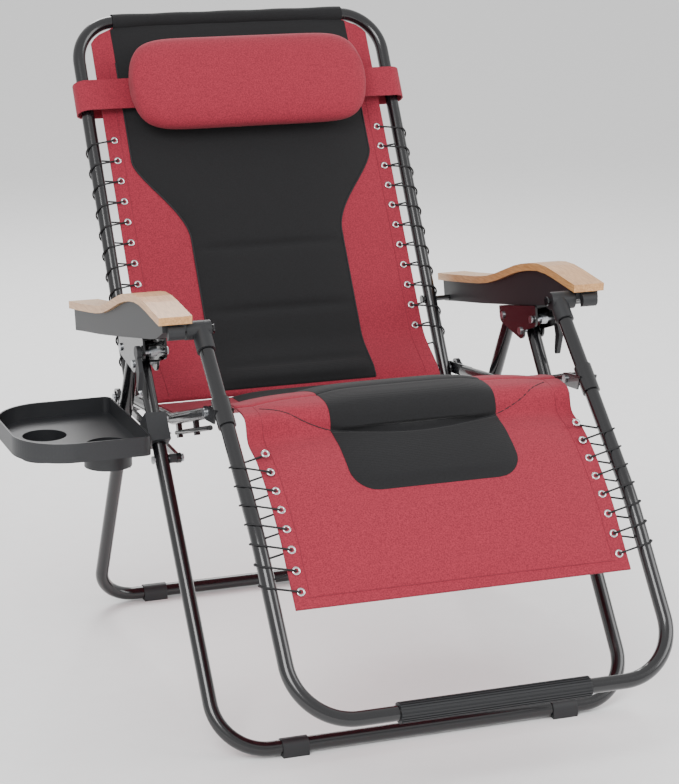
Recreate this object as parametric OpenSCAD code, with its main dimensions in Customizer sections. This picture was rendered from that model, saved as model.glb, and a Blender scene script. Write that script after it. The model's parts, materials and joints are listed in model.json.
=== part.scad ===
// Zero gravity recliner. The chair faces -Y, +X is to its left hand, +Z is up.
// The origin is on the floor, midway between the two leg frames' sides.
// Units are millimetres and degrees.

/* [Tubes] */
// Outside diameter of every frame tube
tube_d = 25; // [20:0.5:28]
// Wall of every frame tube
tube_wall = 1.5; // [1:0.1:2.5]

/* [Widths] */
// Half the distance between the leg rest's side tubes
leg_rest_half = 330; // [270:5:400]
// How far the back frame's side tubes sit inside those of the leg rest
back_inset = 12; // [10:1:20]
// How far the front leg frame's side tubes sit outside those of the leg rest
front_leg_outset = 46; // [42:1:60]
// How far the rear leg frame's side tubes sit inside those of the front one
rear_leg_inset = 8; // [6:1:12]
// Width of an armrest shell
arm_shell_w = 42; // [34:1:46]
// Width of an armrest pad
arm_pad_w = 58; // [46:1:60]

/* [Heights and reaches] */
// Height of the leg pivots above the floor bars
leg_height = 571; // [500:5:640]
// Distance that the front floor bar lies in front of the front leg pivot
front_reach = 433; // [380:5:480]
// Distance that the rear floor bar lies behind the rear leg pivot
rear_reach = 316; // [280:5:360]
// Length of the back frame from the seat pivot to the top bar
back_len = 768; // [660:4:920]
// Length of the armrest linkage, from the front pivot to the rear one
arm_len = 578; // [520:1:600]
// Height of the armrest's pivots above those of the seat rails
link_rise = 124; // [112:1:130]

/* [Angles] */
// Lean of the back frame from the horizontal
back_angle = 59.5; // [54:0.5:64]
// Fall of the armrest towards the back
arm_angle = 11.3; // [8:0.1:14]
// Slope of the leg rest's lower tube
calf_angle = 51.4; // [46:0.2:56]
// Slope of the leg rest's upper tube
thigh_angle = 42.5; // [38:0.5:46]

/* [Soft parts] */
// Thickness of the padded panels
pad_t = 24; // [16:1:28]
// Thickness of the laced edge of the fabric
edge_t = 3; // [2:0.5:4]
// Diameter of the elastic lacing cord
cord_d = 3.4; // [2.5:0.1:4]
// Distance between eyelets
eyelet_pitch = 42.5; // [36:0.5:48]
// Number of eyelets on each side of the back
back_eyelet_count = 12; // [8:1:13]
// Height of the headrest pillow
pillow_h = 188; // [150:2:210]
// Thickness of the headrest pillow
pillow_t = 72; // [50:1:80]

/* [Tray] */
// Width of the tray across the chair
tray_w = 226; // [200:2:240]
// Length of the tray along the chair
tray_l = 290; // [260:2:310]
// Height of the tray's rim
tray_h = 34; // [26:1:40]
// Radius of each cup well
cup_r = 39; // [34:0.5:42]
// Depth of a cup well below the tray's floor
cup_depth = 34; // [20:1:50]

/* [Hidden] */

tube_r = tube_d / 2;
run_gap = 0.15;      // radial clearance of a pin that turns in its hole
side_gap = 1;        // clearance between parts that move past each other
plate_t = 4;         // thickness of the bracket's cheeks
ear_t = 3;           // thickness of the steel ears
pin_r = 4;           // radius of the pivot bolts
arm_pin_r = 5;       // radius of the armrest pivot bolts
head_r = 7;          // radius of a bolt head
head_t = 3;          // thickness of a bolt head
smooth = 48;         // facets of a round part

// Widths, measured from the middle of the chair.
back_half = leg_rest_half - back_inset;
front_half = leg_rest_half + front_leg_outset;
rear_half = front_half - rear_leg_inset;
bracket_half = (front_half + rear_half) / 2;
bracket_in = (front_half - rear_half) / 2 + tube_r + side_gap;
arm_half = bracket_half + 8;

// Leg pivots, on the brackets. The rear pivot is higher, so the frames nest when folded.
front_pivot = [-60, tube_r + leg_height];
rear_pivot = [21, tube_r + leg_height + 12.5];
clip_len = 46;
clip_wall = 2.5;
bar_z = tube_r + clip_wall;
front_bar = [front_pivot[0] - front_reach, bar_z];
rear_bar = [rear_pivot[0] + rear_reach, bar_z];
front_leg_angle = atan2(front_pivot[1] - bar_z, front_reach);
rear_leg_angle = atan2(rear_pivot[1] - bar_z, -rear_reach);
front_leg_len = norm(front_pivot - front_bar);
rear_leg_len = norm(rear_pivot - rear_bar);
front_corner_r = 90;
rear_corner_r = 75;

// The armrest's own frame starts at its front pivot and runs back and down.
arm_dir = [cos(arm_angle), -sin(arm_angle)];
arm_up = [sin(arm_angle), cos(arm_angle)];
arm_front = front_pivot + [-203, 101.5];
arm_rear = arm_front + arm_len * arm_dir;

// The seat rail's pivots lie the same way below both ends of the armrest.
link_drop = [-link_rise / tan(back_angle), -link_rise];
knee = arm_front + link_drop;
hip = arm_rear + link_drop;

// Back frame, measured down from its top bar.
back_dir = [cos(back_angle), sin(back_angle)];
back_top = hip + back_len * back_dir;
back_corner_r = 85;
back_tail = 26;

// Leg rest: foot bar, lower tube, a gentle bend and the upper tube to the armrest.
thigh_dir = [cos(thigh_angle), sin(thigh_angle)];
calf_dir = [cos(calf_angle), sin(calf_angle)];
thigh_len = 409;
calf_len = 314;
shin = arm_front - thigh_len * thigh_dir;
foot = shin - calf_len * calf_dir;
foot_corner_r = 100;
bend_r = 500;
bend_turn = calf_angle - thigh_angle;
bend_cut = bend_r * tan(bend_turn / 2);
collar_at = 169;     // from the front pivot down the upper tube to the collar's middle
collar_len = 52;
collar_wall = 3;

// Fabric, measured along the back from the top bar, and as an outline at the knee.
edge_half = back_half - tube_r - 15.5;
eyelet_half = edge_half - 16;
back_pad_end = back_len - 33;
back_eyelet_first = 252;
core_half = eyelet_half - 24;
leg_edge_half = leg_rest_half - tube_r - 22.5;
leg_eyelet_half = leg_edge_half - 15;

// The armrest slides on a steel rod, whose bushes the bracket's neck holds.
rod_r = 5;
rod_z = 8;
rod_from = 66;
rod_len = 270;
neck_from = 200;
neck_len = 60;
bush_r = 8;
arm_floor = -12;     // underside of the armrest shell
cam_at = [160, -38]; // lock lever's axis

function deg_line(p, d, s) = p + s * d;

// ---------- shapes shared by several parts ----------

module ring2d(r, wall) {
    difference() {
        circle(r = r, $fn = smooth);
        circle(r = r - wall, $fn = smooth);
    }
}

module pipe(l, r = tube_r, wall = tube_wall) {
    linear_extrude(l) ring2d(r, wall);
}

module elbow(bend, turn, r = tube_r, wall = tube_wall) {
    rotate_extrude(angle = turn, $fn = 96) translate([bend, 0]) ring2d(r, wall);
}

// A bar along X with a quarter bend at each end and two sides that run along +Y.
module u_tube(half, side, corner) {
    translate([corner - half, 0, 0]) rotate([0, 90, 0]) pipe(2 * (half - corner));
    for (s = [-1, 1]) {
        translate([s * (half - corner), corner, 0])
            rotate([0, 0, s > 0 ? -90 : 180]) elbow(corner, 90);
        translate([s * half, corner, 0]) rotate([-90, 0, 0]) pipe(side - corner);
    }
}

// Puts children in the YZ plane at p, with +Y turned to the angle a.
module at_yz(p, a = 0) {
    translate([0, p[0], p[1]]) rotate([a, 0, 0]) children();
}

// A rod along X from x0 to x1 at the point p of the YZ plane.
module x_rod(p, x0, x1, r) {
    translate([min(x0, x1), p[0], p[1]]) rotate([0, 90, 0])
        cylinder(r = r, h = abs(x1 - x0), $fn = smooth);
}

module in_arm() {
    at_yz(arm_front, -arm_angle) children();
}

module in_back() {
    at_yz(back_top, back_angle + 180) children();
}

// An outline in the YZ plane, as thick as w along X, with its middle at x.
module slab(x, w, points) {
    translate([x - w / 2, 0, 0]) rotate([90, 0, 90]) linear_extrude(w) polygon(points);
}

module both_sides() {
    for (s = [-1, 1]) scale_x(s) children();
}

module scale_x(s) {
    if (s > 0) children();
    else mirror([1, 0, 0]) children();
}

// A rounded strip through the points, w wide and t thick, as an outline.
function normal_at(p, i) = let (a = p[max(i - 1, 0)], b = p[min(i + 1, len(p) - 1)],
    d = (b - a) / norm(b - a)) [-d[1], d[0]];
function strip(p, up, down) = concat(
    [for (i = [0 : len(p) - 1]) p[i] + up * normal_at(p, i)],
    [for (i = [len(p) - 1 : -1 : 0]) p[i] - down * normal_at(p, i)]);

// A cord through the points: one closed skin of rings with flat ends.
function unit(v) = v / norm(v);
function cord_dir(p, i) = unit(p[min(i + 1, len(p) - 1)] - p[max(i - 1, 0)]);
function cord_ring(p, i, r, n) = let (d = cord_dir(p, i),
    ref = abs(d[1]) < 0.8 ? [0, 1, 0] : [0, 0, 1],
    a = unit(cross(ref, d)), b = cross(d, a))
    [for (k = [0 : n - 1]) p[i] + r * (cos(360 * k / n) * a + sin(360 * k / n) * b)];
module cord(p, r, n = 6) {
    rings = [for (i = [0 : len(p) - 1]) each cord_ring(p, i, r, n)];
    last = (len(p) - 1) * n;
    sides = [for (i = [0 : len(p) - 2], k = [0 : n - 1])
        each [[i * n + k, i * n + (k + 1) % n, (i + 1) * n + k],
              [i * n + (k + 1) % n, (i + 1) * n + (k + 1) % n, (i + 1) * n + k]]];
    caps = [[for (k = [n - 1 : -1 : 0]) k], [for (k = [0 : n - 1]) last + k]];
    polyhedron(rings, [for (f = concat(sides, caps)) [for (k = [len(f) - 1 : -1 : 0]) f[k]]]);
}

// ---------- brackets and lock levers ----------

// Outline of a bracket's cheek, in the armrest's frame.
function in_arm_frame(p) = let (d = p - arm_front)
    [d * arm_dir, d * arm_up];
front_pivot_arm = in_arm_frame(front_pivot);
rear_pivot_arm = in_arm_frame(rear_pivot);
boss_r = 15;
cheek_top = arm_floor - side_gap;

module cheek2d() {
    hull() {
        translate(rear_pivot_arm) circle(r = boss_r, $fn = 32);
        translate([rear_pivot_arm[0] + boss_r - 3, cheek_top - 3]) circle(r = 3, $fn = 32);
        translate(front_pivot_arm) circle(r = boss_r, $fn = 32);
        translate([front_pivot_arm[0], cheek_top - 3]) circle(r = 3, $fn = 32);
    }
    hull() {
        translate(front_pivot_arm + [0, 14]) circle(r = boss_r, $fn = 32);
        translate(cam_at) circle(r = boss_r, $fn = 32);
        translate([cam_at[0] - boss_r + 3, cheek_top - 3]) circle(r = 3, $fn = 32);
        translate([front_pivot_arm[0], cheek_top - 3]) circle(r = 3, $fn = 32);
    }
}

module cheek(x) {
    difference() {
        translate([x, 0, 0]) rotate([90, 0, 90]) linear_extrude(plate_t)
            intersection() {
                cheek2d();
                translate([0, cheek_top - 200]) square([600, 200]);
            }
        for (p = [front_pivot_arm, rear_pivot_arm])
            x_rod(p, x - 1, x + plate_t + 1, pin_r);
        x_rod(cam_at, x - 1, x + plate_t + 1, pin_r + run_gap);
    }
}

module bracket() {
    color("#2b2c2e") in_arm() {
        cheek(bracket_half - bracket_in - plate_t);
        cheek(bracket_half + bracket_in);
        difference() {
            union() {
                translate([bracket_half - bracket_in, cam_at[0], cheek_top - plate_t])
                    cube([2 * bracket_in, rear_pivot_arm[0] - cam_at[0] + boss_r - 4, plate_t]);
                translate([arm_half - bush_r - 3, neck_from, cheek_top - plate_t])
                    cube([2 * bush_r + 6, neck_len, rod_z + bush_r + 3 - cheek_top + plate_t]);
            }
            translate([arm_half, neck_from - 1, rod_z]) rotate([-90, 0, 0])
                cylinder(r = bush_r + run_gap, h = neck_len + 2, $fn = smooth);
        }
    }
}

module leg_pivot_bolts() {
    inside = bracket_half - bracket_in - plate_t;
    outside = bracket_half + bracket_in + plate_t;
    color("#c9ccd0") both_sides() for (p = [front_pivot, rear_pivot]) {
        x_rod(p, inside, outside, pin_r);
        x_rod(p, inside - head_t, inside, head_r);
        x_rod(p, outside, outside + head_t, head_r);
    }
}

// Shaft that the lever turns, with the cam that clamps the slide rod.
module cam_rod() {
    inside = bracket_half - bracket_in - plate_t;
    outside = bracket_half + bracket_in + plate_t;
    color("#8d9095") in_arm() {
        x_rod(cam_at, inside - 2, outside + 2, pin_r);
        x_rod(cam_at, inside - 2 - head_t, inside - 2, head_r);
        x_rod(cam_at, bracket_half - 6, bracket_half + 6, 9);
    }
}

lever_len = 62;
lever_t = 8;
module lock_lever() {
    outside = bracket_half + bracket_in + plate_t + 2;
    color("#1d1e20") in_arm() difference() {
        translate([outside, 0, 0]) rotate([90, 0, 90]) linear_extrude(lever_t) {
            translate(cam_at) circle(r = 12, $fn = smooth);
            hull() {
                translate(cam_at + [0, -8]) circle(r = 7, $fn = 32);
                translate(cam_at + [-6, -lever_len / 2]) circle(r = 9, $fn = 32);
            }
            hull() {
                translate(cam_at + [-6, -lever_len / 2]) circle(r = 9, $fn = 32);
                translate(cam_at + [6, -lever_len]) circle(r = 5, $fn = 32);
            }
        }
        x_rod(cam_at, outside - 1, outside + 2, pin_r + run_gap);
    }
}

// ---------- leg frames ----------

leg_end = 8;         // how far a leg's tube runs past its pivot
module leg_frame(bar, half, len, a, corner, pivot) {
    difference() {
        at_yz(bar, a) u_tube(half, len + leg_end, corner);
        both_sides() x_rod(pivot, half - tube_r - 1, half + tube_r + 1, pin_r + run_gap);
    }
}

link_front = deg_line(front_bar, [cos(front_leg_angle), sin(front_leg_angle)], 531);

module front_leg_frame() {
    color("#1a1b1d") difference() {
        leg_frame(front_bar, front_half, front_leg_len, front_leg_angle, front_corner_r,
                  front_pivot);
        both_sides() x_rod(link_front, front_half - tube_r - 1, front_half + tube_r + 1,
                           pin_r + run_gap);
    }
}

module rear_leg_frame() {
    color("#1a1b1d") leg_frame(rear_bar, rear_half, rear_leg_len, rear_leg_angle,
                               rear_corner_r, rear_pivot);
}

// A plastic sleeve with a flat foot that stands on the floor.
module floor_clip(x, bar) {
    translate([x - clip_len / 2, bar[0], bar_z]) difference() {
        union() {
            rotate([0, 90, 0]) cylinder(r = tube_r + clip_wall, h = clip_len, $fn = smooth);
            translate([0, -bar_z, -bar_z]) cube([clip_len, 2 * bar_z, bar_z]);
        }
        translate([-1, 0, 0]) rotate([0, 90, 0])
            cylinder(r = tube_r, h = clip_len + 2, $fn = smooth);
    }
}

module front_floor_clips() {
    color("#232426") for (s = [-1, 1]) floor_clip(s * (front_half - corner_inset(front_corner_r)),
                                                  front_bar);
}

module rear_floor_clips() {
    color("#232426") for (s = [-1, 1]) floor_clip(s * (rear_half - corner_inset(rear_corner_r)),
                                                  rear_bar);
}
function corner_inset(r) = r + clip_len / 2 + 16;

// ---------- tray ----------

tray_top = 485;
tray_in = front_half + tube_r + 8;
tray_mid = -42;
tray_wall = 3;
tray_floor = 5;
front_cup = [-(tray_in + 58), tray_mid - 62];
rear_cup = [-(tray_in + 150), tray_mid + 26];

module tray_outline(inset = 0) {
    hull() {
        for (y = [-1, 1]) translate([-(tray_in + 14), tray_mid + y * (tray_l / 2 - 14)])
            circle(r = 14 - inset, $fn = 32);
        for (y = [-1, 1]) translate([-(tray_in + tray_w - 95), tray_mid + y * (tray_l / 2 - 95)])
            circle(r = 95 - inset, $fn = 96);
    }
}

module tray() {
    color("#2c2d2f") difference() {
        union() {
            translate([0, 0, tray_top - tray_h]) linear_extrude(tray_h) tray_outline();
            for (c = [front_cup, rear_cup])
                translate([c[0], c[1], tray_top - tray_h - cup_depth])
                    cylinder(r = cup_r + tray_wall, h = cup_depth + 1, $fn = 64);
        }
        translate([0, 0, tray_top - tray_h + tray_floor]) linear_extrude(tray_h)
            tray_outline(tray_wall);
        for (c = [front_cup, rear_cup])
            translate([c[0], c[1], tray_top - tray_h - cup_depth + tray_wall])
                cylinder(r = cup_r, h = tray_h + cup_depth, $fn = 64);
    }
}

clamp_len = 52;
clamp_half_y = tube_r + 9;
function front_leg_at(z) = front_bar + [(z - bar_z) / tan(front_leg_angle), z - bar_z];

// Block that clips round the front leg and carries the tray.
module tray_clamp() {
    p = front_leg_at(tray_top - 4);
    color("#161719") scale_x(-1) difference() {
        translate([front_half, p[0], p[1]]) rotate([front_leg_angle - 90, 0, 0])
            translate([-tube_r - 5, -clamp_half_y, -clamp_len / 2])
                cube([2 * tube_r + 5 + 8, 2 * clamp_half_y, clamp_len]);
        translate([front_half, p[0], p[1]]) rotate([front_leg_angle - 90, 0, 0])
            translate([0, 0, -clamp_len]) cylinder(r = tube_r, h = 2 * clamp_len, $fn = smooth);
    }
}

fork_gap = 2;
// Hook under the tray that steadies it against the rear leg.
module tray_fork() {
    z = tray_top - tray_h;
    y = rear_bar[0] - (350 - bar_z) / tan(180 - rear_leg_angle);
    x0 = rear_half - tube_r - fork_gap - 4;
    x1 = rear_half + tube_r + fork_gap;
    color("#161719") scale_x(-1) {
        translate([x1, y - 16, 334]) cube([4, 44, z - 334]);
        translate([x1, tray_mid + 60, z - 12])
            cube([tray_in + 30 - x1, y + 28 - tray_mid - 60, 12]);
        translate([x0, y + 22, 334]) cube([x1 - x0, 6, 30]);
        translate([x0, y - 16, 334]) cube([4, 40, 30]);
    }
}

// Screws through the clamp block, behind the leg, beside its tube.
module tray_screws() {
    along = [cos(front_leg_angle), sin(front_leg_angle)];
    beside = [-along[1], along[0]] * (tube_r + 4.5);
    color("#c9ccd0") for (d = [-14, 14])
        x_rod(front_leg_at(tray_top - 4) + beside + d * along,
              -(front_half + tube_r + 7.9), -(front_half - tube_r - 5 - head_t), 2);
}

// ---------- armrests ----------

// Lower edge of the armrest pad, in the armrest's frame: distance back, height.
arm_edge = [[-24, 12], [20, 25], [60, 37], [95, 46], [128, 51], [160, 52], [196, 51], [230, 48],
            [275, 41], [318, 34], [362, 29], [406, 28], [450, 29], [arm_len - 34, 32],
            [arm_len + 34, 35]];
shell_rear = arm_len + 26;
shell_nose = -16;

function shell_outline() = concat(
    [for (p = arm_edge) if (p[0] > shell_nose + 8 && p[0] < shell_rear - 10) p],
    [[shell_rear, 34], [shell_rear, -7], [arm_len - 40, -8], [arm_len - 160, arm_floor + 1],
     [arm_len - 270, arm_floor], [60, arm_floor], [24, arm_floor + 2], [shell_nose, 0],
     [shell_nose, 12]]);

slot_from = 74;
slot_to = neck_from + neck_len + 10;

module armrest_shell() {
    color("#2f3033") in_arm() difference() {
        slab(arm_half, arm_shell_w, shell_outline());
        // Hollow that the bracket's neck slides in, open below.
        translate([arm_half - bush_r - 5, slot_from, arm_floor - 1])
            cube([2 * bush_r + 10, slot_to - slot_from, rod_z + bush_r + 5 - arm_floor + 1]);
        translate([arm_half, rod_from, rod_z]) rotate([-90, 0, 0])
            cylinder(r = rod_r, h = rod_len, $fn = smooth);
        x_rod([0, 0], arm_half - arm_shell_w / 2 - 1, arm_half + 8, arm_pin_r + run_gap);
        x_rod([arm_len, 0], arm_half - arm_shell_w / 2 - 1, arm_half + 8, arm_pin_r + run_gap);
    }
}

arm_pad_t = 14;
module armrest_pad() {
    color("#c98a4b") in_arm() slab(arm_half, arm_pad_w, strip(arm_edge, arm_pad_t, -0.2));
}

module slide_rods() {
    color("#b9bcc1") both_sides() in_arm() translate([arm_half, rod_from, rod_z])
        rotate([-90, 0, 0]) cylinder(r = rod_r, h = rod_len, $fn = smooth);
}

module slide_bushes() {
    color("#e4e4e0") both_sides() in_arm() translate([arm_half, neck_from + 2, rod_z])
        rotate([-90, 0, 0]) difference() {
            cylinder(r = bush_r, h = neck_len - 4, $fn = smooth);
            translate([0, 0, -1]) cylinder(r = rod_r + run_gap, h = neck_len, $fn = smooth);
        }
}

// Rubber stop under the front of each armrest.
module armrest_end_caps() {
    color("#131415") both_sides() in_arm() difference() {
        x_rod([shell_nose - 2, -2], arm_half - 14, arm_half + 14, 12);
        translate([0, shell_nose, -40]) cube([1000, 60, 80]);
    }
}

// ---------- back ----------

module armrest_rear_bolts() {
    color("#202124") both_sides() {
        x_rod(arm_rear, back_half - tube_r - 4, arm_half + 6, arm_pin_r);
        x_rod(arm_rear, back_half - tube_r - 4 - head_t, back_half - tube_r - 4, head_r + 1);
    }
}

ferrule_t = 2;
module back_frame_tube() {
    color("#1a1b1d") difference() {
        in_back() u_tube(back_half, back_len + back_tail, back_corner_r);
        both_sides() x_rod(arm_rear, back_half - tube_r - 1, back_half + tube_r + 1,
                           arm_pin_r + run_gap);
        both_sides() x_rod(hip, back_half - tube_r - 1, back_half + tube_r + 1,
                           pin_r + run_gap);
    }
}

// Plastic plugs in the lower ends of the back tube.
module back_pivot_ferrules() {
    color("#0f1011") both_sides() in_back()
        translate([back_half, back_len + back_tail - 10, 0]) rotate([-90, 0, 0]) {
            cylinder(r = tube_r - tube_wall, h = 10, $fn = smooth);
            translate([0, 0, 10]) cylinder(r = tube_r, h = ferrule_t, $fn = smooth);
        }
}

// Fabric back: a sleeve over the top bar, a laced edge and a padded middle.
sleeve_half = back_half - back_corner_r;
fabric_t = 2;
module back_pad() {
    start = tube_r + fabric_t;
    color("#b03a48") in_back() difference() {
        union() {
            translate([-sleeve_half, 0, 0]) rotate([0, 90, 0])
                cylinder(r = tube_r + fabric_t + 0.3, h = 2 * sleeve_half, $fn = smooth);
            translate([-sleeve_half, 4, -edge_t / 2])
                cube([2 * sleeve_half, start + 30, edge_t]);
            translate([-edge_half, back_corner_r * 0.62, -edge_t / 2])
                cube([2 * edge_half, back_pad_end - back_corner_r * 0.62, edge_t]);
            translate([-core_half, start + 4, -pad_t + edge_t])
                cube([2 * core_half, back_pad_end - start - 4, pad_t]);
        }
        translate([-back_half, 0, 0]) rotate([0, 90, 0])
            cylinder(r = tube_r + 0.3, h = 2 * back_half, $fn = smooth);
    }
}

// The cord spirals round the tube and takes one eyelet in each turn.
function lace_turn(p, q, x_in, x_tube, out, up, n) = let (r = tube_r + cord_d / 2 + 0.4)
    [[x_in, p[0] - n[0] * 3.2, p[1] - n[1] * 3.2],
     [x_tube - r * 0.72, (p + (q - p) * 0.2)[0] - n[0] * r * 0.86,
                  (p + (q - p) * 0.2)[1] - n[1] * r * 0.86],
     [x_tube, (p + (q - p) * 0.3)[0] - n[0] * (r + 0.6), (p + (q - p) * 0.3)[1] - n[1] * (r + 0.6)],
     [x_tube + r * 0.76, (p + (q - p) * 0.38)[0] - n[0] * r * 0.76,
                  (p + (q - p) * 0.38)[1] - n[1] * r * 0.76],
     [x_tube + r + 0.6, (p + (q - p) * 0.5)[0], (p + (q - p) * 0.5)[1]],
     [x_tube + r * 0.76, (p + (q - p) * 0.62)[0] + n[0] * r * 0.76,
                  (p + (q - p) * 0.62)[1] + n[1] * r * 0.76],
     [x_tube, (p + (q - p) * 0.7)[0] + n[0] * (r + 0.6), (p + (q - p) * 0.7)[1] + n[1] * (r + 0.6)],
     [x_tube - r * 0.72, (p + (q - p) * 0.8)[0] + n[0] * r * 0.86,
                  (p + (q - p) * 0.8)[1] + n[1] * r * 0.86],
     [x_in, q[0] + n[0] * 3.2, q[1] + n[1] * 3.2]];

function back_eyelet(i) = [back_eyelet_first + i * eyelet_pitch, 0];
back_turns = [for (i = [0 : back_eyelet_count - 2])
    each lace_turn(back_eyelet(i), back_eyelet(i + 1), eyelet_half, back_half, 1, 1, [0, 1])];

module back_lacing() {
    color("#101012") in_back() cord(back_turns, cord_d / 2);
}

eyelet_r = 7.5;
eyelet_hole = 3.6;
module eyelet() {
    difference() {
        cylinder(r = eyelet_r, h = edge_t + 2.4, center = true, $fn = 32);
        cylinder(r = eyelet_hole, h = edge_t + 4, center = true, $fn = 32);
    }
}

module back_eyelets() {
    color("#d9dbde") in_back() for (s = [-1, 1], i = [0 : back_eyelet_count - 1])
        translate([s * eyelet_half, back_eyelet(i)[0], 0]) eyelet();
}

// ---------- headrest ----------

pillow_half = 240;
pillow_from = 70;
strap_h = 62;
strap_t = 2.5;
strap_from = pillow_from + (pillow_h - strap_h) / 2;
strap_in = back_half + tube_r + cord_d + 3.4;
strap_front = -(pad_t - edge_t) - 4;
strap_rear = tube_r + cord_d + 3.2;

module loop2d(grow) {
    hull() for (s = [-1, 1]) {
        translate([s * (strap_in - 20), strap_front + 20]) circle(r = 20 + grow, $fn = 48);
        translate([s * (strap_in - 20), strap_rear - 20]) circle(r = 20 + grow, $fn = 48);
    }
}

module headrest_strap() {
    color("#b03a48") in_back() translate([0, strap_from + strap_h, 0]) rotate([90, 0, 0])
        linear_extrude(strap_h) difference() {
            loop2d(strap_t);
            loop2d(0);
        }
}

module headrest_pillow() {
    back_z = strap_front - strap_t - 0.3;
    color("#b03a48") in_back() translate([-pillow_half, 0, 0]) rotate([90, 0, 90])
        linear_extrude(2 * pillow_half) hull() {
            translate([pillow_from + 12, back_z - 12]) circle(r = 12, $fn = 32);
            translate([pillow_from + pillow_h - 12, back_z - 12]) circle(r = 12, $fn = 32);
            for (d = [-25, 25]) translate([pillow_from + pillow_h / 2 + d, back_z - pillow_t / 2])
                circle(r = pillow_t / 2, $fn = 48);
        }
}

// Slider that closes the strap behind the back.
module headrest_buckle() {
    color("#151617") in_back() translate([60, strap_from - 4, strap_rear + strap_t])
        difference() {
            cube([34, strap_h + 8, 4]);
            translate([6, 5, -1]) cube([8, strap_h - 2, 6]);
            translate([20, 5, -1]) cube([8, strap_h - 2, 6]);
        }
}

// ---------- leg rest ----------

module armrest_front_bolts() {
    color("#202124") both_sides() {
        x_rod(arm_front, leg_rest_half - 20, arm_half + 6, arm_pin_r);
        x_rod(arm_front, leg_rest_half - 20 - head_t, leg_rest_half - 20, head_r + 1);
    }
}

joint_at = collar_at + collar_len / 2 - 4;   // where the lower tube meets the strut
module leg_rest_tube() {
    side = calf_len - bend_cut;
    color("#1a1b1d") {
        at_yz(foot, calf_angle) {
            u_tube(leg_rest_half, side, foot_corner_r);
            both_sides() translate([leg_rest_half, side, -bend_r]) rotate([0, -90, 0])
                elbow(bend_r, bend_turn);
        }
    }
}

// Straight upper stretch of the same tube, on each side.
module leg_rest_thigh_tubes() {
    color("#1a1b1d") both_sides() translate([leg_rest_half, 0, 0])
        at_yz(deg_line(shin, thigh_dir, bend_cut), thigh_angle)
            rotate([-90, 0, 0]) pipe(thigh_len - bend_cut - joint_at);
}

tee_socket = 44;
tee_wall = 3.5;
module upper_strut() {
    color("#1a1b1d") translate([leg_rest_half, 0, 0])
        at_yz(deg_line(arm_front, thigh_dir, -joint_at), thigh_angle)
            rotate([-90, 0, 0]) pipe(joint_at - 18);
}

// Plastic tee that holds the strut's top end and turns on the armrest's front bolt.
module strut_tees() {
    color("#303134") both_sides() difference() {
        union() {
            x_rod(arm_front, leg_rest_half - 16, arm_half - arm_shell_w / 2 - 0.5, 16);
            translate([leg_rest_half, 0, 0]) at_yz(arm_front, thigh_angle + 180)
                rotate([-90, 0, 0]) cylinder(r = tube_r + tee_wall, h = tee_socket, $fn = smooth);
        }
        translate([leg_rest_half, 0, 0]) at_yz(deg_line(arm_front, thigh_dir, -18), thigh_angle + 180)
            rotate([-90, 0, 0]) cylinder(r = tube_r, h = tee_socket, $fn = smooth);
        x_rod(arm_front, leg_rest_half - 17, arm_half, arm_pin_r + run_gap);
    }
}

// Steel collar round the tube joint, with two ears that hold the seat rail.
module knee_collars() {
    p = deg_line(arm_front, thigh_dir, -collar_at);
    ear_x = tube_r + side_gap;
    color("#1f2022") both_sides() translate([leg_rest_half, 0, 0]) difference() {
        union() {
            at_yz(p, thigh_angle) translate([0, -collar_len / 2, 0]) rotate([-90, 0, 0])
                cylinder(r = tube_r + collar_wall, h = collar_len, $fn = smooth);
            for (s = [-1, 1]) slab(s * (ear_x + ear_t / 2), ear_t,
                [p + [-6, 8], knee + [-4, 12], knee + [9, 9], knee + [12, -1],
                 knee + [6, -11], knee + [-6, -12], p + [4, -18]]);
        }
        at_yz(p, thigh_angle) translate([0, -collar_len, 0]) rotate([-90, 0, 0])
            cylinder(r = tube_r, h = 2 * collar_len, $fn = smooth);
        x_rod(knee, -ear_x - ear_t - 1, ear_x + ear_t + 1, pin_r + run_gap);
    }
}

foot_sleeve_half = 165;
foot_sleeve_wall = 5;
rib_count = 22;
// Ribbed grip on the foot bar.
module foot_sleeve() {
    color("#191a1b") at_yz(foot) translate([-foot_sleeve_half, 0, 0]) rotate([0, 90, 0])
        linear_extrude(2 * foot_sleeve_half) difference() {
            union() {
                circle(r = tube_r + foot_sleeve_wall - 1.2, $fn = smooth);
                for (i = [0 : rib_count - 1]) rotate(360 * i / rib_count)
                    translate([tube_r + foot_sleeve_wall - 1.8, -1]) square([1.8, 2]);
            }
            circle(r = tube_r, $fn = smooth);
        }
}

// Line of the fabric's edge on the leg rest, from its hem to the knee.
hem_back = 105;
leg_line = [deg_line(shin, calf_dir, -hem_back - 22), deg_line(shin, calf_dir, -hem_back / 2),
            shin, deg_line(shin, thigh_dir, 90), deg_line(shin, thigh_dir, 150) + [6, -8],
            deg_line(shin, thigh_dir, 195) + [16, -20], knee + [-52, -5], knee + [-16, 2]];
leg_pad_t = 15;
leg_core_half = leg_eyelet_half - 26;
module leg_pad() {
    color("#b03a48") {
        slab(0, 2 * leg_edge_half, strip(leg_line, edge_t / 2, edge_t / 2));
        slab(0, 2 * leg_core_half, strip(leg_line, leg_pad_t - edge_t, edge_t));
    }
}

leg_eyelet_count = 9;
leg_eyelet_first = -98;
leg_pitch = 36;
function leg_point(s) = s < 0 ? deg_line(shin, calf_dir, s) : deg_line(shin, thigh_dir, s);
function leg_normal(s) = s < 0 ? [calf_dir[1], -calf_dir[0]] : [thigh_dir[1], -thigh_dir[0]];
leg_turns = [for (i = [0 : leg_eyelet_count - 3])
    let (s = leg_eyelet_first + i * leg_pitch)
    each lace_turn(leg_point(s), leg_point(s + leg_pitch), leg_eyelet_half, leg_rest_half, 1, 1,
                   leg_normal(s + leg_pitch / 2))];

module leg_lacing() {
    color("#101012") cord(leg_turns, cord_d / 2);
}

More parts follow.
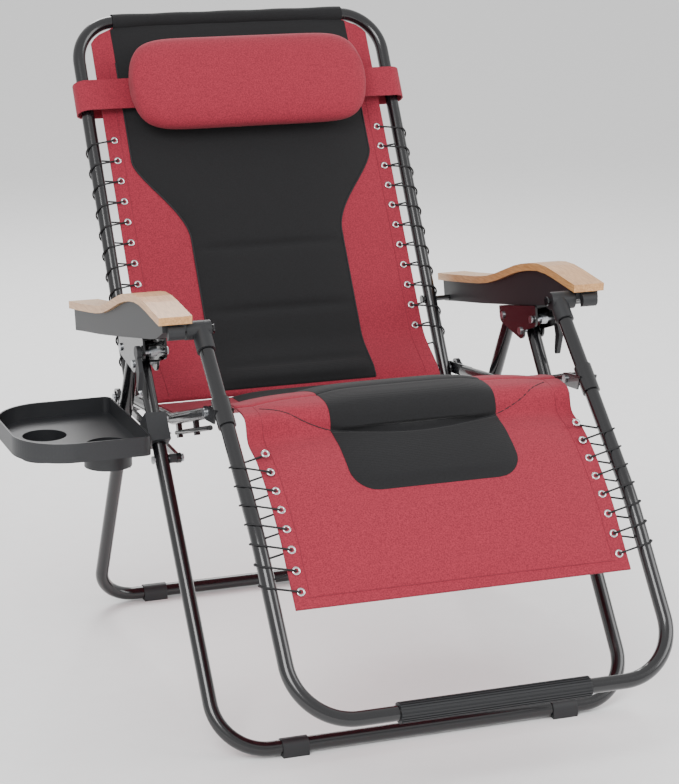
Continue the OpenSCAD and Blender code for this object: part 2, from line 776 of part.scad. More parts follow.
module leg_eyelets() {
    color("#d9dbde") for (s = [-1, 1], i = [0 : leg_eyelet_count - 2])
        let (d = leg_eyelet_first + i * leg_pitch)
            translate([s * leg_eyelet_half, 0, 0])
                at_yz(leg_point(d), d < 0 ? calf_angle : thigh_angle) eyelet();
}

// ---------- seat ----------

module knee_bolts() {
    reach = tube_r + side_gap + ear_t;
    color("#c9ccd0") both_sides() translate([leg_rest_half, 0, 0]) {
        x_rod(knee, -reach - 0.3, reach + 0.3, pin_r);
        for (s = [-1, 1]) x_rod(knee, s * (reach + 0.3), s * (reach + 0.3 + head_t), head_r);
    }
}

rail_r = 11;
rail_bend = knee + [248, -76];
rail_clear = 76;                     // bare length of plate beside the back tube
rail_dir = (hip - rail_bend) / norm(hip - rail_bend);
rail_slope = (rail_bend - knee) / norm(rail_bend - knee);
rail_end = hip - rail_clear * rail_dir;
plate_in = back_half + tube_r + side_gap;
plate_w = 22;

// Seat rail: a tube from the knee collar, bent once, and a flat plate at the hip.
rail_bend_r = 120;
rail_front = knee + 16 * rail_slope;
module seat_rail() {
    a = atan2(rail_slope[1], rail_slope[0]);
    b = atan2(rail_dir[1], rail_dir[0]);
    cut = rail_bend_r * tan((b - a) / 2);
    straight = norm(rail_bend - rail_front) - cut;
    color("#1a1b1d") difference() {
        union() {
            translate([leg_rest_half, 0, 0]) {
                at_yz(rail_front, a) {
                    rotate([-90, 0, 0]) pipe(straight, rail_r);
                    translate([0, straight, rail_bend_r]) mirror([0, 0, 1]) rotate([0, -90, 0])
                        elbow(rail_bend_r, b - a, rail_r);
                }
                at_yz(rail_bend + cut * rail_dir, b) rotate([-90, 0, 0])
                    pipe(norm(rail_end - rail_bend) - cut, rail_r);
                at_yz(knee, a) translate([-6, 0, -9]) cube([12, 40, 18]);
                x_rod(knee, -6, 6, 10);
            }
            at_yz(hip, b) translate([plate_in, -rail_clear - 30, -plate_w / 2])
                cube([ear_t, rail_clear + 30, plate_w]);
            x_rod(hip, plate_in, plate_in + ear_t, plate_w / 2 + 1);
        }
        x_rod(knee, leg_rest_half - 20, leg_rest_half + 20, pin_r + run_gap);
        x_rod(hip, plate_in - 1, plate_in + ear_t + 1, pin_r + run_gap);
    }
}

// Fabric seat, slung between the back and the knee.
seat_line = [knee + [14, 2], knee + [70, -10], knee + [150, -36], knee + [250, -72],
             knee + [350, -104], knee + [430, -118], hip + [-58, -8]];
seat_half = leg_edge_half - 4;
module seat_pad() {
    color("#b03a48") {
        slab(0, 2 * seat_half, strip(seat_line, edge_t / 2, edge_t / 2));
        slab(0, 2 * leg_core_half, strip(seat_line, leg_pad_t - edge_t, edge_t));
    }
}

brace_r = 4.5;
brace_drop = 27;
brace_from = 26;
brace_to = 236;
module brace_rods() {
    a = atan2(rail_slope[1], rail_slope[0]);
    p = knee + [0, -brace_drop];
    color("#232427") both_sides() translate([leg_rest_half, 0, 0])
        at_yz(p, a) translate([0, brace_from, 0]) rotate([-90, 0, 0])
            cylinder(r = brace_r, h = brace_to - brace_from, $fn = smooth);
}

// Lugs that hang each brace rod from its seat rail.
module brace_lugs() {
    a = atan2(rail_slope[1], rail_slope[0]);
    color("#1f2022") both_sides() translate([leg_rest_half, 0, 0]) difference() {
        for (d = [104, 214]) at_yz(knee + [0, -brace_drop], a)
            translate([-4, d, -9]) cube([8, 12, brace_drop * cos(a) + 6]);
        at_yz(knee + [0, -brace_drop], a) rotate([-90, 0, 0])
            cylinder(r = brace_r, h = 400, $fn = smooth);
        at_yz(knee, a) rotate([-90, 0, 0]) cylinder(r = rail_r, h = 400, $fn = smooth);
    }
}

link_x = leg_rest_half + tube_r;
link_w = 8;
module seat_back_bolts() {
    color("#c9ccd0") both_sides() {
        x_rod(hip, back_half - tube_r - 3, link_x + link_w + 3, pin_r);
        x_rod(hip, back_half - tube_r - 3 - head_t, back_half - tube_r - 3, head_r);
        x_rod(hip, link_x + link_w + 3, link_x + link_w + 3 + head_t, head_r);
    }
}

// ---------- guide links between the front legs and the hip ----------

module link_bolts() {
    color("#c9ccd0") both_sides() {
        x_rod(link_front, link_x - 2, front_half + tube_r + 2, pin_r);
        x_rod(link_front, link_x - 2 - head_t, link_x - 2, head_r);
        x_rod(link_front, front_half + tube_r + 2, front_half + tube_r + 2 + head_t, head_r);
    }
}

link_eye_r = 9;
link_slot = 7;       // play that the eye at the hip leaves round its bolt
module link_rod() {
    d = (hip - link_front) / norm(hip - link_front);
    a = atan2(d[1], d[0]);
    l = norm(hip - link_front);
    color("#1a1b1d") difference() {
        union() {
            x_rod(link_front, link_x, link_x + link_w, link_eye_r);
            x_rod(hip, link_x, link_x + link_w, link_eye_r + link_slot);
            at_yz(link_front, a) translate([link_x + 0.5, 4, -5.5]) cube([link_w - 1, l - 8, 11]);
        }
        x_rod(link_front, link_x - 1, link_x + link_w + 1, pin_r + run_gap);
        x_rod(hip, link_x - 1, link_x + link_w + 1, pin_r + link_slot);
    }
}

// Black washers that space each link from the front leg.
module link_grommets() {
    color("#0f1011") both_sides() difference() {
        x_rod(link_front, link_x + link_w + 0.4, front_half - tube_r - 0.4, 8);
        x_rod(link_front, link_x, front_half, pin_r);
    }
}

// ---------- nodes ----------

scale_x(-1) bracket();  // bracket_left
bracket();  // bracket_right
leg_pivot_bolts();
scale_x(-1) cam_rod();  // cam_rod_left
cam_rod();  // cam_rod_right
scale_x(-1) lock_lever();  // lock_lever_left
lock_lever();  // lock_lever_right
front_leg_frame();
front_floor_clips();
tray();
tray_clamp();
tray_fork();
tray_screws();
rear_leg_frame();
rear_floor_clips();
slide_bushes();
scale_x(-1) armrest_shell();  // armrest_shell_left
armrest_shell();  // armrest_shell_right
scale_x(-1) armrest_pad();  // armrest_pad_left
armrest_pad();  // armrest_pad_right
slide_rods();
armrest_end_caps();
armrest_rear_bolts();
back_frame_tube();
back_pivot_ferrules();
back_pad();
scale_x(-1) back_lacing();  // back_lacing_left
back_lacing();  // back_lacing_right
back_eyelets();
headrest_pillow();
headrest_strap();
headrest_buckle();
armrest_front_bolts();
leg_rest_tube();
leg_rest_thigh_tubes();
scale_x(-1) upper_strut();  // upper_strut_left
upper_strut();  // upper_strut_right
strut_tees();
knee_collars();
foot_sleeve();
leg_pad();
scale_x(-1) leg_lacing();  // leg_lacing_left
leg_lacing();  // leg_lacing_right
leg_eyelets();
knee_bolts();
scale_x(-1) seat_rail();  // seat_rail_left
seat_rail();  // seat_rail_right
seat_pad();
brace_rods();
brace_lugs();
seat_back_bolts();
link_bolts();
scale_x(-1) link_rod();  // link_rod_left
link_rod();  // link_rod_right
link_grommets();
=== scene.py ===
"""Looks for the zero gravity recliner: padded sling, pillow, lacing, finishes, camera and studio."""

import json
import math

import bpy
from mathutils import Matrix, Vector


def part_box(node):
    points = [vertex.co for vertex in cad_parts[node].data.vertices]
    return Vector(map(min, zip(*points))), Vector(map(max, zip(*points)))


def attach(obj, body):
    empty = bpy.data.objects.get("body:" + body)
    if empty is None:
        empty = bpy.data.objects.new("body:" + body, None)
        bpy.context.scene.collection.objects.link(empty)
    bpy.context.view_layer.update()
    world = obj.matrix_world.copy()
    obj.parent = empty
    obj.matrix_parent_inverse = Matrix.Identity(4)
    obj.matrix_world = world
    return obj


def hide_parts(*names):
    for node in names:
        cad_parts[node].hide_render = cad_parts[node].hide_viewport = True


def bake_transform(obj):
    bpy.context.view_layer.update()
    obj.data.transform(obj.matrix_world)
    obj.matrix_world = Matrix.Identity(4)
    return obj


MM = 0.001
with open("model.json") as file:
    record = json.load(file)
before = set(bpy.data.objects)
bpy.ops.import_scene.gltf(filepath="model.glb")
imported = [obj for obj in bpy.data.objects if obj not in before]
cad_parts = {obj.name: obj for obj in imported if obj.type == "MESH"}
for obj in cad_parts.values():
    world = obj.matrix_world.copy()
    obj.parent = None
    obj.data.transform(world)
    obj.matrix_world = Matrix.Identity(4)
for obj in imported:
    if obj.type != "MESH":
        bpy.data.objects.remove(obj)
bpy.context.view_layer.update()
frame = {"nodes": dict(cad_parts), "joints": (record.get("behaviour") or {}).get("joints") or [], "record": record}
joints = {joint["name"]: joint for joint in frame["joints"]}


# ---------- places, in millimetres, from the frame's own joints ----------

def joint_point(name):
    return Vector(joints[name]["pos_m"]) / MM


arm_rear = joint_point("recline")
arm_front = joint_point("leg_rest_lift")
knee = joint_point("seat_swing")
hip = arm_rear + (knee - arm_front)
up_back = Vector(joints["headrest_slide"]["axis"]).normalized()
behind = Vector((0, up_back.z, -up_back.y))
BACK_LEN = 768
back_top = hip + BACK_LEN * up_back
TUBE_R = 12.5
BACK_HALF = 318
LEG_HALF = 330
CORNER_R = 85
EDGE_HALF = 289
EYELET_X = 274
LEG_EDGE = 294
LEG_EYELET_X = 280


def slope(degrees):
    return Vector((0, math.cos(math.radians(degrees)), math.sin(math.radians(degrees))))


THIGH, CALF = slope(42.5), slope(51.4)
THIGH_LEN = 409
shin = arm_front - THIGH_LEN * THIGH


def on_back(x, down, back=0.0):
    """A point x across, down from the top bar, and back behind the plane of the back tube."""
    return Vector((x, 0, 0)) + back_top - down * up_back + back * behind


def smooth(t):
    t = max(0.0, min(1.0, t))
    return t * t * (3 - 2 * t)


def groove(distance, width, depth):
    """Depth of a sewn channel at a distance from its seam."""
    return depth * math.exp(-(distance / width) ** 2)


# ---------- materials ----------

def linear(hex_colour):
    parts = [int(hex_colour[i:i + 2], 16) / 255 for i in (1, 3, 5)]
    return [c / 12.92 if c <= 0.04045 else ((c + 0.055) / 1.055) ** 2.4 for c in parts] + [1.0]


def add(tree, kind, settings=None, links=None):
    """Adds a node, sets its inputs and properties, and links its inputs from other sockets."""
    made = tree.nodes.new(kind)
    for key, value in (settings or {}).items():
        if key in made.inputs:
            made.inputs[key].default_value = value
        else:
            setattr(made, key, value)
    for key, socket in (links or {}).items():
        tree.links.new(socket, made.inputs[key])
    return made


def material(name, **shader):
    made = bpy.data.materials.new(name)
    made.use_nodes = True
    tree = made.node_tree
    body = tree.nodes["Principled BSDF"]
    for key, value in shader.items():
        body.inputs[key.replace("_", " ")].default_value = value
    return made, tree, body


def place(tree):
    return add(tree, "ShaderNodeTexCoord").outputs["Object"]


def bumped(tree, body, height, strength, distance_mm):
    bump = add(tree, "ShaderNodeBump", {"Strength": strength, "Distance": distance_mm * MM},
               {"Height": height})
    tree.links.new(bump.outputs["Normal"], body.inputs["Normal"])


def mixed(tree, factor, low, high, start=0.35, end=0.65):
    ramp = add(tree, "ShaderNodeValToRGB", None, {"Fac": factor})
    ramp.color_ramp.elements[0].position = start
    ramp.color_ramp.elements[0].color = linear(low)
    ramp.color_ramp.elements[1].position = end
    ramp.color_ramp.elements[1].color = linear(high)
    return ramp.outputs["Color"]


def woven(name, low, high, thread_mm, fleck_mm):
    """Polyester oxford cloth: crossed threads, and flecks of lighter and darker yarn. Matt, with a soft sheen."""
    made, tree, body = material(name, Roughness=0.9, Sheen_Weight=0.04)
    where = place(tree)
    band = 0.314 / (thread_mm * MM)
    warp = add(tree, "ShaderNodeTexWave", {"Scale": band, "bands_direction": "X"}, {"Vector": where})
    weft = add(tree, "ShaderNodeTexWave", {"Scale": band, "bands_direction": "Z"}, {"Vector": where})
    flecks = add(tree, "ShaderNodeTexNoise", {"Scale": 1 / (fleck_mm * MM), "Detail": 4.0},
                 {"Vector": where})
    tree.links.new(mixed(tree, flecks.outputs["Fac"], low, high), body.inputs["Base Color"])
    weave = add(tree, "ShaderNodeMath", {"operation": "ADD"})
    tree.links.new(warp.outputs["Fac"], weave.inputs[0])
    tree.links.new(weft.outputs["Fac"], weave.inputs[1])
    bumped(tree, body, weave.outputs[0], 0.35, 0.4)
    return made


def grained(name, low, high, roughness, grain_mm, strength=0.15, metallic=0.0, **more):
    """A moulded, painted or plated surface: fine grain in its colour, height and gloss."""
    made, tree, body = material(name, Roughness=roughness, Metallic=metallic, **more)
    noise = add(tree, "ShaderNodeTexNoise", {"Scale": 1 / (grain_mm * MM), "Detail": 3.0},
                {"Vector": place(tree)})
    tree.links.new(mixed(tree, noise.outputs["Fac"], low, high), body.inputs["Base Color"])
    bumped(tree, body, noise.outputs["Fac"], strength, 0.2)
    return made


def oak():
    """Varnished light wood, cut along the armrest: long streaks about 3 mm wide under a satin coat."""
    made, tree, body = material("varnished_oak", Roughness=0.38, Coat_Weight=0.3, Coat_Roughness=0.25)
    stretch = add(tree, "ShaderNodeMapping", {"Scale": (1.0, 0.09, 1.0)}, {"Vector": place(tree)})
    grain = add(tree, "ShaderNodeTexNoise", {"Scale": 1 / (3 * MM), "Detail": 6.0, "Distortion": 0.4},
                {"Vector": stretch.outputs["Vector"]})
    tree.links.new(mixed(tree, grain.outputs["Fac"], "#B07C48", "#D6A46C", 0.3, 0.7),
                   body.inputs["Base Color"])
    bumped(tree, body, grain.outputs["Fac"], 0.1, 0.3)
    return made


RED = woven("crimson_oxford_cloth", "#7D1A2B", "#9E2A3C", 2.0, 2.2)
BLACK = woven("black_oxford_cloth", "#08080A", "#111114", 2.0, 2.2)
THREAD = grained("sewing_thread", "#141416", "#222226", 0.8, 1.0)
RED_THREAD = grained("red_sewing_thread", "#7A1C2D", "#8C2536", 0.8, 1.0)
COAT = grained("black_powder_coat", "#0B0B0D", "#141417", 0.22, 1.2, 0.05, Coat_Weight=0.4)
STEEL = grained("zinc_plated_steel", "#A9ACB0", "#C6C9CC", 0.3, 3, 0.05, 1.0)
CHROME = grained("plated_brass_eyelet", "#C9CACC", "#E6E7E8", 0.18, 3, 0.02, 1.0)
ABS = grained("moulded_black_abs", "#17181A", "#202124", 0.48, 0.9, 0.2)
CHARCOAL = grained("moulded_charcoal_tray", "#1E1F21", "#292A2D", 0.42, 0.9, 0.2)
NYLON = grained("natural_nylon", "#C9C8C0", "#D8D7D0", 0.5, 1.5)
ELASTIC = grained("braided_elastic", "#0C0C0E", "#1A1A1D", 0.7, 0.8, 0.4)
OAK = oak()

SLOT_FINISH = {"bracket_steel": COAT, "bolt_steel": STEEL, "cam_steel": STEEL,
               "lever_plastic": ABS, "frame_tube": COAT, "clip_plastic": ABS,
               "tray_plastic": CHARCOAL, "bush_plastic": NYLON, "shell_plastic": ABS,
               "armrest_wood": OAK, "seat_fabric": RED, "lacing_cord": ELASTIC,
               "eyelet_chrome": CHROME}
# Rounding of the moulded and cut pieces' edges, in millimetres.
ROUNDED = {"armrest_wood": 5.0, "shell_plastic": 2.5, "tray_plastic": 1.4, "lever_plastic": 1.5}


def finish_cad_nodes():
    for part in frame["record"]["subparts"]:
        node = frame["nodes"][part["node"]]
        slot = part["material_slot"]
        node.data.materials.clear()
        node.data.materials.append(SLOT_FINISH[slot])
        if slot in ROUNDED:
            bevel = node.modifiers.new("rounded_edge", "BEVEL")
            bevel.width = ROUNDED[slot] * MM
            bevel.segments = 3
            bevel.limit_method = "ANGLE"
            bevel.angle_limit = math.radians(40)


# ---------- mesh helpers ----------

def mesh_object(name, points_mm, faces, finish):
    data = bpy.data.meshes.new(name)
    data.from_pydata([p * MM for p in points_mm], [], faces)
    data.update()
    for face in data.polygons:
        face.use_smooth = True
    made = bpy.data.objects.new(name, data)
    bpy.context.scene.collection.objects.link(made)
    data.materials.append(finish)
    return made


def panel(name, centre, half, front, rear, length, finish, across=48, along=90):
    """A closed padded panel. centre(s) gives a middle point and the way its front faces, half(s) its
    half width, and front(s, x) and rear(s, x) how far its two skins stand from the middle, in mm."""
    rows, cols = along + 1, across + 1
    skins = []
    for skin, sign in ((front, 1), (rear, -1)):
        for i in range(rows):
            s = length * i / along
            middle, out = centre(s)
            for j in range(cols):
                u = math.sin(math.pi / 2 * (2 * j / across - 1))
                x = u * half(s)
                skins.append(middle + Vector((x, 0, 0)) + sign * skin(s, x) * out)
    other = rows * cols
    faces = []
    for i in range(along):
        for j in range(across):
            a, b = i * cols + j, (i + 1) * cols + j
            faces.append((a, a + 1, b + 1, b))
            faces.append((other + a, other + b, other + b + 1, other + a + 1))
    for j in range(across):
        a, b = j, along * cols + j
        faces.append((a, other + a, other + a + 1, a + 1))
        faces.append((b, b + 1, other + b + 1, other + b))
    for i in range(along):
        a, b = i * cols, i * cols + across
        faces.append((a, a + cols, other + a + cols, other + a))
        faces.append((b, other + b, other + b + cols, b + cols))
    return mesh_object(name, skins, faces, finish)


def spline(points):
    """A smooth path through points: a function of the distance along it, and its length."""
    dense = []
    for i in range(len(points) - 1):
        p0, p1 = points[max(i - 1, 0)], points[i]
        p2, p3 = points[i + 1], points[min(i + 2, len(points) - 1)]
        for k in range(12):
            t = k / 12
            dense.append(0.5 * (2 * p1 + (p2 - p0) * t + (2 * p0 - 5 * p1 + 4 * p2 - p3) * t * t
                                + (3 * p1 - p0 - 3 * p2 + p3) * t ** 3))
    dense.append(points[-1])
    reach = [0.0]
    for a, b in zip(dense, dense[1:]):
        reach.append(reach[-1] + (b - a).length)

    def at(s):
        s = max(0.0, min(reach[-1], s))
        i = max(k for k in range(len(reach) - 1) if reach[k] <= s)
        t = (s - reach[i]) / (reach[i + 1] - reach[i])
        way = (dense[min(i + 2, len(dense) - 1)] - dense[max(i - 1, 0)]).normalized()
        return dense[i].lerp(dense[i + 1], t), Vector((0, -way.z, way.y))

    return at, reach[-1]


def thread(name, points_mm, radius_mm, finish, cyclic=False):
    """A cord, seam or piping through the points, as a mesh tube."""
    curve = bpy.data.curves.new(name, "CURVE")
    curve.dimensions = "3D"
    curve.bevel_depth = radius_mm * MM
    curve.bevel_resolution = 2
    curve.use_fill_caps = True
    line = curve.splines.new("POLY")
    line.points.add(len(points_mm) - 1)
    for target, p in zip(line.points, points_mm):
        target.co = (*(p * MM), 1)
    line.use_cyclic_u = cyclic
    holder = bpy.data.objects.new(name + "_curve", curve)
    bpy.context.scene.collection.objects.link(holder)
    bpy.context.view_layer.update()
    data = bpy.data.meshes.new_from_object(holder.evaluated_get(
        bpy.context.evaluated_depsgraph_get()))
    bpy.data.objects.remove(holder)
    data.name = name
    data.materials.clear()
    data.materials.append(finish)
    for face in data.polygons:
        face.use_smooth = True
    made = bpy.data.objects.new(name, data)
    bpy.context.scene.collection.objects.link(made)
    return made


def soft(made, replaces=()):
    if replaces:
        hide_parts(*replaces)
    return made


# ---------- back ----------

BACK_FABRIC_END = 800
BACK_SEAMS = (493, 623, 740)
HIP_FORWARD = 44


def hip_curve(s):
    """How far the fabric swings forward, off the back tube's plane, as it nears the seat."""
    return -HIP_FORWARD * smooth((s - 680) / 120)


def back_middle(s):
    return on_back(0, s, hip_curve(s)), -behind


def back_half(s):
    if s >= CORNER_R:
        return EDGE_HALF
    inside = CORNER_R - TUBE_R - 3
    rise = CORNER_R - s
    return min(EDGE_HALF, BACK_HALF - CORNER_R + math.sqrt(max(0.0, inside ** 2 - min(rise, inside) ** 2)))


def crown(x, half, sharp=6):
    return max(0.0, 1 - abs(x / half) ** sharp)


def back_channels(s):
    return sum(groove(s - seam, 9, 6) for seam in BACK_SEAMS)


def back_front(s, x):
    return 2 + 8 * crown(x, EYELET_X - 14) * smooth((s - 16) / 60) * smooth((BACK_FABRIC_END - s) / 40)


def core_half(s):
    """The black panel narrows below the pillow between two curved red wings."""
    return 247 - 92 * smooth((s - 300) / 170) ** 0.8


def core_front(s, x):
    swell = crown(x, core_half(s), 5) * smooth(s / 30) * smooth((BACK_FABRIC_END - 12 - s) / 25)
    return back_front(s, x) + 0.6 + 9.5 * swell - back_channels(s) * swell


def make_back():
    red = panel("back_red_fabric", back_middle, back_half, back_front, lambda s, x: 1.4,
                BACK_FABRIC_END, RED)
    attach(soft(red, ("back_pad",)), "back")

    def core_middle(s):
        return on_back(0, s + 12, hip_curve(s + 12)), -behind

    core = panel("back_black_panel", core_middle, lambda s: min(core_half(s + 12), back_half(s + 12) - 2),
                 lambda s, x: core_front(s + 12, x), lambda s, x: -1.0, BACK_FABRIC_END - 24, BLACK, 56, 150)
    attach(soft(core), "back")
    sleeve_points = []
    sleeve_half = BACK_HALF - CORNER_R + 8
    faces = []
    turns, steps = 30, 40
    for i in range(steps + 1):
        for k in range(turns):
            a = 2 * math.pi * k / turns
            sag = 1 + 0.04 * math.sin(9 * i / steps * math.pi)
            sleeve_points.append(on_back(sleeve_half * (2 * i / steps - 1),
                                         15.2 * sag * math.cos(a), 14.6 * math.sin(a)))
    for i in range(steps):
        for k in range(turns):
            a, b = i * turns + k, i * turns + (k + 1) % turns
            faces.append((a, b, b + turns, a + turns))
    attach(mesh_object("back_top_sleeve", sleeve_points, faces, BLACK), "back")
    for side, tag in ((-1, "right_hand"), (1, "left_hand")):
        seam = [on_back(side * core_half(s), s, hip_curve(s) - core_front(s, core_half(s)) - 0.3)
                for s in range(90, BACK_FABRIC_END - 10, 6)]
        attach(thread("back_wing_piping_" + tag, seam, 1.6, THREAD), "back")
        hem = [on_back(side * (EDGE_HALF - 28), s, hip_curve(s) - back_front(s, EDGE_HALF - 28) - 0.2)
               for s in range(100, BACK_FABRIC_END - 10, 8)]
        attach(thread("back_hem_stitch_" + tag, hem, 0.6, RED_THREAD), "back")


# ---------- headrest ----------

def make_pillow():
    """A stuffed bolster: round in section, gathered at its ends."""
    low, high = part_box("headrest_pillow")
    half = (high.x - low.x) / 2 / MM
    tall, thick, from_top = 188, 72, 70
    back_face = 26
    points, faces = [], []
    steps, turns = 60, 48
    for i in range(steps + 1):
        u = -math.cos(math.pi * i / steps)
        end = max(0.0, 1 - abs(u) ** 9) ** 0.42
        for k in range(turns):
            a = 2 * math.pi * k / turns
            c, s = math.cos(a), math.sin(a)
            down = tall / 2 * end * math.copysign(abs(c) ** 0.8, c)
            out = thick / 2 * (0.35 + 0.65 * end) * math.copysign(abs(s) ** 0.8, s) * min(1, end * 4)
            wrinkle = 1.4 * math.sin(7 * a) * smooth((abs(u) - 0.86) / 0.1)
            points.append(on_back(u * half, from_top + tall / 2 + down,
                                  -(back_face + thick / 2 + out + wrinkle * min(1, end))))
    for i in range(steps):
        for k in range(turns):
            a, b = i * turns + k, i * turns + (k + 1) % turns
            faces.append((a, b, b + turns, a + turns))
    faces.append(tuple(range(turns - 1, -1, -1)))
    faces.append(tuple(steps * turns + k for k in range(turns)))
    pillow = mesh_object("headrest_bolster", points, faces, RED)
    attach(soft(pillow, ("headrest_pillow",)), "headrest")


# ---------- seat and leg rest ----------

def yz(y, z):
    return Vector((0, y, z))


def seat_path():
    return spline([hip + yz(-58, -8), knee + yz(430, -118), knee + yz(350, -104), knee + yz(250, -72),
                   knee + yz(150, -36), knee + yz(70, -10), knee + yz(14, 2), knee])


def leg_path():
    return spline([knee, knee + yz(-16, 2), knee + yz(-52, -5), shin + 195 * THIGH + yz(16, -20),
                   shin + 150 * THIGH + yz(6, -8), shin + 90 * THIGH, shin, shin - 52 * CALF,
                   shin - 127 * CALF])


LEG_CORE_END = 232
BOLSTER_DIP = 96


def make_seat():
    middle, length = seat_path()

    def facing(s):
        point, out = middle(s)
        return point, -out

    def front(s, x):
        return 2 + 9 * crown(x, LEG_EYELET_X - 16) * smooth(s / 40)

    base = panel("seat_red_fabric", facing, lambda s: LEG_EDGE - 5 * smooth(1 - s / length), front,
                 lambda s, x: 1.4, length, RED)
    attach(soft(base, ("seat_pad",)), "seat_frame")
    core = panel("seat_black_panel", facing, lambda s: 150,
                 lambda s, x: front(s, x) + 0.6 + 8 * crown(x, 150, 5) * smooth(s / 40),
                 lambda s, x: -1.0, length, BLACK)
    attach(soft(core), "seat_frame")


def make_leg_rest():
    middle, length = leg_path()

    def facing(s):
        point, out = middle(s)
        return point, -out

    def front(s, x):
        return 2 + 9 * crown(x, LEG_EYELET_X - 16) * smooth((length - s) / 50) - groove(
            s - bolster_seam(x), 7, 4) * crown(x, 262, 8)

    def bolster_seam(x):
        """The curved seam under the knee bolster dips in the middle."""
        return 20 + BOLSTER_DIP * max(0.0, 1 - (x / 268) ** 2)

    def core_width(s):
        left = max(0.0, LEG_CORE_END - s)
        corner = 45
        inset = 0 if left > corner else corner - math.sqrt(corner ** 2 - (corner - left) ** 2)
        return 150 - inset

    def core_height(s, x):
        swell = crown(x, core_width(s) + 1, 5) * smooth((LEG_CORE_END - s) / 25)
        return front(s, x) + 0.6 + (8 - groove(s - bolster_seam(x), 8, 5)) * swell

    base = panel("leg_red_fabric", facing, lambda s: LEG_EDGE, front, lambda s, x: 1.4, length, RED,
                 60, 130)
    soft(base, ("leg_pad",))
    core = panel("leg_black_panel", facing, core_width, core_height, lambda s, x: -1.0, LEG_CORE_END,
                 BLACK, 60, 130)
    soft(core)
    made = [base, core]
    for side, tag in ((-1, "right_hand"), (1, "left_hand")):
        hem = []
        for s in range(10, int(length) - 20, 8):
            point, out = facing(s)
            hem.append(point + Vector((side * (LEG_EDGE - 28), 0, 0))
                       + (front(s, LEG_EDGE - 28) + 0.2) * out)
        made.append(thread("leg_side_stitch_" + tag, hem, 0.6, RED_THREAD))
    low = []
    for k in range(-27, 28):
        point, out = facing(length - 18)
        low.append(point + Vector((k * 10, 0, 0)) + (front(length - 18, k * 10) + 0.3) * out)
    made.append(thread("leg_hem_stitch", low, 0.6, RED_THREAD))
    smile = []
    for k in range(-26, 27):
        x = k * 10.0
        s = bolster_seam(x)
        point, out = facing(s)
        top = core_height(s, x) if abs(x) < 148 else front(s, x)
        smile.append(point + Vector((x, 0, 0)) + (top + 0.2) * out)
    made.append(thread("knee_bolster_seam", smile, 0.9, THREAD))
    for piece in made:
        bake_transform(piece)


# ---------- eyelets and lacing ----------

def eyelet_ring(centre, normal, points, faces):
    """Adds a rolled metal ring to a growing mesh."""
    side = Vector((1, 0, 0))
    along = normal.cross(side).normalized()
    turns, rolls = 20, 8
    start = len(points)
    for i in range(turns):
        a = 2 * math.pi * i / turns
        ray = math.cos(a) * side + math.sin(a) * along
        for k in range(rolls):
            b = 2 * math.pi * k / rolls
            points.append(centre + ray * (5.6 + 2.0 * math.cos(b)) + normal * 1.6 * math.sin(b))
    for i in range(turns):
        for k in range(rolls):
            a = start + i * rolls + k
            b = start + i * rolls + (k + 1) % rolls
            c = start + ((i + 1) % turns) * rolls + (k + 1) % rolls
            d = start + ((i + 1) % turns) * rolls + k
            faces.append((a, b, c, d))


def lace(stations, x_in, x_tube, side):
    """Elastic cord from eyelet to eyelet, once over the tube and back in each gap.
    stations are (point, way out of the fabric) at the eyelets."""
    reach = TUBE_R + 2.2
    path = []
    for (p, n), (q, m) in zip(stations, stations[1:]):
        out = (n + m).normalized()
        path.append(Vector((side * x_in, 0, 0)) + p + 3.4 * n)
        for k in range(9):
            t = k / 8
            a = math.pi * (0.12 + 0.76 * t)
            spot = p.lerp(q, 0.25 + 0.5 * t)
            path.append(spot + Vector((side * (x_tube + reach * math.sin(a)), 0, 0))
                        + out * reach * math.cos(a) * 1.02)
        path.append(Vector((side * x_in, 0, 0)) + q - 3.4 * m)
    return path


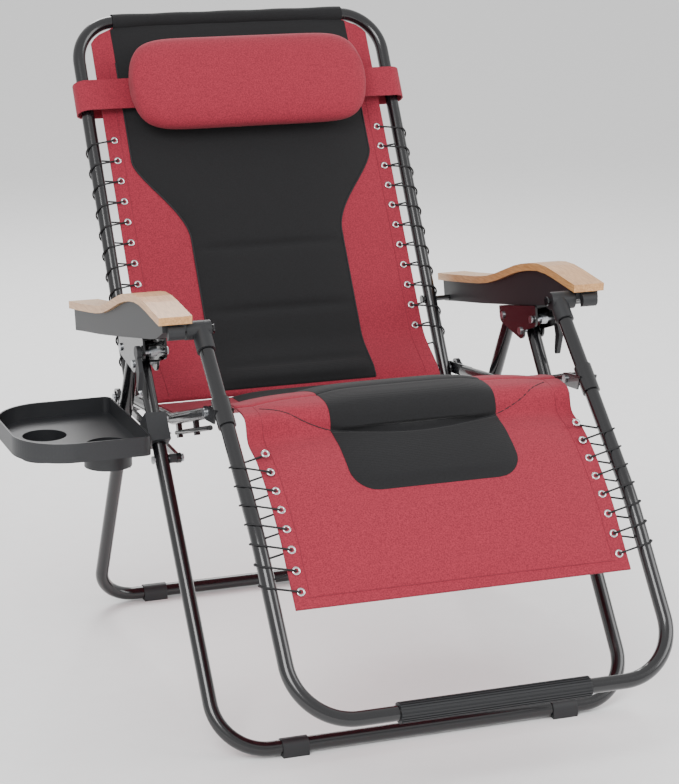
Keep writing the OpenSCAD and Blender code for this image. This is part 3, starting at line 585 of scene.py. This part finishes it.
def make_lacing():
    back = [(on_back(0, 252 + 42.5 * i), -behind) for i in range(12)]
    calf_out = Vector((0, -CALF.z, CALF.y))
    thigh_out = Vector((0, -THIGH.z, THIGH.y))
    leg = []
    for i in range(8):
        s = -98 + 36 * i
        leg.append((shin + s * (CALF if s < 0 else THIGH), calf_out if s < 0 else thigh_out))
    for body, stations, x_in, x_tube in (("back", back, EYELET_X, BACK_HALF),
                                         ("leg_rest", leg, LEG_EYELET_X, LEG_HALF)):
        short = "back" if body == "back" else "leg"
        points, faces = [], []
        for side, tag in ((-1, "left"), (1, "right")):
            for p, n in stations:
                eyelet_ring(p + Vector((side * x_in, 0, 0)) + 2.6 * n, n, points, faces)
            cord = thread(f"{short}_elastic_{tag}", lace(stations, x_in, x_tube, side), 1.7, ELASTIC)
            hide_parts(f"{short}_lacing_{tag}")
            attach(cord, body)
        rings = mesh_object(f"{short}_rolled_eyelets", points, faces, CHROME)
        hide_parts(f"{short}_eyelets")
        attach(rings, body)


# ---------- studio ----------

def make_studio():
    floor = bpy.data.meshes.new("floor")
    floor.from_pydata([(-30, -30, 0), (30, -30, 0), (30, 30, 0), (-30, 30, 0)], [], [(0, 1, 2, 3)])
    floor_object = bpy.data.objects.new("floor", floor)
    bpy.context.scene.collection.objects.link(floor_object)
    floor.materials.append(grained("pale_floor", "#FBFBFB", "#FDFDFD", 0.7, 40, 0.0))
    world = bpy.data.worlds.new("studio")
    world.use_nodes = True
    world.node_tree.nodes["Background"].inputs["Color"].default_value = (1, 1, 1, 1)
    world.node_tree.nodes["Background"].inputs["Strength"].default_value = 1.0
    bpy.context.scene.world = world
    for name, place_m, watts, size in (("key", (-2.2, -3.2, 3.4), 150, 2.2),
                                       ("fill", (3.2, -2.0, 2.2), 70, 2.4),
                                       ("rim", (0.5, 3.2, 3.0), 90, 2.0)):
        lamp = bpy.data.lights.new(name, "AREA")
        lamp.energy = watts
        lamp.size = size
        made = bpy.data.objects.new(name, lamp)
        made.location = place_m
        made.rotation_euler = (Vector((0, 0, 0.6)) - made.location).to_track_quat("-Z", "Y").to_euler()
        bpy.context.scene.collection.objects.link(made)


def make_camera():
    data = bpy.data.cameras.new("camera")
    data.sensor_fit = "HORIZONTAL"
    data.sensor_width = 36
    data.lens = 128.5
    data.shift_x = -0.0031
    data.shift_y = -0.0409
    data.clip_end = 100
    made = bpy.data.objects.new("camera", data)
    az, el = math.radians(-20.1), math.radians(14.0)
    back = Vector((math.sin(az) * math.cos(el), -math.cos(az) * math.cos(el), math.sin(el)))
    made.location = (-1.4708, -4.0695, 1.6140)
    made.rotation_euler = (-back).to_track_quat("-Z", "Y").to_euler()
    bpy.context.scene.collection.objects.link(made)
    bpy.context.scene.camera = made


make_camera()
make_studio()
finish_cad_nodes()
make_back()
make_pillow()
make_seat()
make_leg_rest()
make_lacing()
